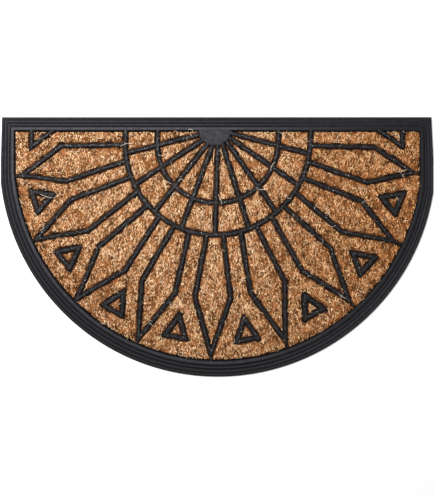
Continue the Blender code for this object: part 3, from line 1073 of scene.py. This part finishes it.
hairs = {
    "seed": 61,
    "count": 55,
    "segments": 14,
    "width": 0.00034,
    "length": (0.008, 0.024),
    "bend": 0.16,
    "kink": 0.14,
    "rootRoom": -0.0035,
    "pits": -2.0,
    "borderRoom": -0.004,
    "height": 0.0098,
    "arch": 0.0006,
    "heightSpread": 0.0004,
    "tone": 0.92,
    "toneSpread": 0.15,
}


def makeHairs():
    # pale hairs that lie loose over the pile and the ribs
    rng = np.random.default_rng(hairs["seed"])
    plan = wander(hairs, seedPoints(hairs["count"], rng, hairs["rootRoom"], hairs["pits"]), rng)
    share = np.linspace(0, 1, hairs["segments"] + 1)
    height = hairs["height"] + hairs["arch"] * np.sin(math.pi * share)
    height = height + hairs["heightSpread"] * rng.random((hairs["count"], 1))
    paths = np.concatenate([plan, height[..., None]], axis=-1)[clearOfBorder(hairs, plan)]
    widths = taperedWidths(hairs, share, len(paths), rng)
    # two crossed ribbons, so that a hair has a body from every side
    flat, flatFaces = ribbons(paths, widths, np.zeros_like(widths))
    upright, uprightFaces = ribbons(paths, widths, np.full_like(widths, math.pi / 2))
    points = np.concatenate([flat, upright])
    faces = np.concatenate([flatFaces, uprightFaces + len(flat)])
    tone = alongRibbons(hairs["tone"] + rng.normal(0, hairs["toneSpread"], (len(paths), 1)), widths)
    piece = meshFrom("strayHairs", points, [faces], paleFinish, [("tone", np.concatenate([tone, tone]))])


makeHairs()

lint = {
    "seed": 62,
    "count": 240,
    "tries": 6,  # places tried at a time for each bit
    "segments": 2,
    "width": 0.00042,
    "widths": (0.6, 1.4),
    "length": (0.0008, 0.0030),
    "kink": 0.8,
    "roll": 0.3,
    "field": ((-0.353, -0.200), (0.355, 0.204)),
    "borderRoom": 0.001,
    "ribRoom": -0.0016,  # each bit sits this far in from a rib's side
    "hubShare": 1.1,  # none sits this near to the hub's middle, as a share of its radius
    "height": 0.0095,
    "heightSpread": 0.0002,
    "palest": 0.8,
}


def makeLint():
    # short bits that lie on the ribs
    rng = np.random.default_rng(lint["seed"])
    count, places = lint["count"], lint["segments"] + 1
    found = np.zeros((0, 2))
    while len(found) < count:
        tries = rng.uniform(*lint["field"], (count * lint["tries"], 2))
        onRib = (openSpace(tries)[0] < lint["ribRoom"]) & (openingSpace(tries)[0] > lint["borderRoom"])
        fromHub = np.hypot(*(tries - hubEnds.mean(axis=0)).T) / sunburst["hubRadius"]
        found = np.concatenate([found, tries[onRib & (fromHub > lint["hubShare"])]])
    plan = wander(lint, found[:count], rng)
    height = lint["height"] + lint["heightSpread"] * rng.random((count, places))
    paths = np.concatenate([plan, height[..., None]], axis=-1)
    widths = lint["width"] * rng.uniform(*lint["widths"], (count, 1)) * np.ones(places)
    points, faces = ribbons(paths, widths, rng.normal(0, lint["roll"], widths.shape))
    tone = alongRibbons(rng.uniform(0.0, 1.0, (count, 1)) ** 2 * lint["palest"], widths)
    piece = meshFrom("coirLint", points, [faces], paleFinish, [("tone", tone)])


makeLint()

# Floor, light and camera.
studio = {
    "floorHalf": 4,
    "floorColour": (0.62, 0.62, 0.62),
    "worldStrength": 0.85,
    "keyPlace": (-0.46, 0.46, 1.15),
    "keySize": 0.7,
    "keyPower": 31.0,
    "frameHeight": 495,  # pixels
    "pixel": 0.0017337,  # the size of one on the mat
    "aim": (0.00078, -0.00108, 0.003),
    "lens": 85.0,
    "sensor": 36.0,
    "clip": (0.1, 20.0),
}


def makeStudio():
    scene = bpy.context.scene
    scene.view_settings.view_transform = "Standard"
    half = studio["floorHalf"]
    corners = [(-half, -half, 0), (half, -half, 0), (half, half, 0), (-half, half, 0)]
    mesh = bpy.data.meshes.new("floor")
    mesh.from_pydata(corners, [], [(0, 1, 2, 3)])
    sockets = {"Roughness": 0.9, "Base Color": (*studio["floorColour"], 1)}
    mesh.materials.append(newMaterial("paleFloor", **sockets)[0])
    floor = bpy.data.objects.new("floor", mesh)
    scene.collection.objects.link(floor)
    world = bpy.data.worlds.new("softRoom")
    world.use_nodes = True
    background = world.node_tree.nodes["Background"]
    background.inputs["Color"].default_value = (1, 1, 1, 1)
    background.inputs["Strength"].default_value = studio["worldStrength"]
    scene.world = world
    lamp = bpy.data.lights.new("key", "AREA")
    lamp.size, lamp.energy = studio["keySize"], studio["keyPower"]
    key = bpy.data.objects.new("key", lamp)
    key.location = studio["keyPlace"]
    key.rotation_euler = (-key.location).to_track_quat("-Z", "Y").to_euler()
    key.visible_camera = False
    scene.collection.objects.link(key)


def makeCamera():
    camera = bpy.data.cameras.new("camera")
    camera.lens, camera.sensor_width = studio["lens"], studio["sensor"]
    camera.clip_start, camera.clip_end = studio["clip"]
    frameTall = studio["frameHeight"] * studio["pixel"]
    x, y, z = studio["aim"]
    holder = bpy.data.objects.new("camera", camera)
    holder.location = (x, y, z + frameTall * camera.lens / camera.sensor_width)
    bpy.context.scene.collection.objects.link(holder)
    bpy.context.scene.camera = holder


makeStudio()
makeCamera()
print("studio and camera set")

bpy.context.view_layer.update()
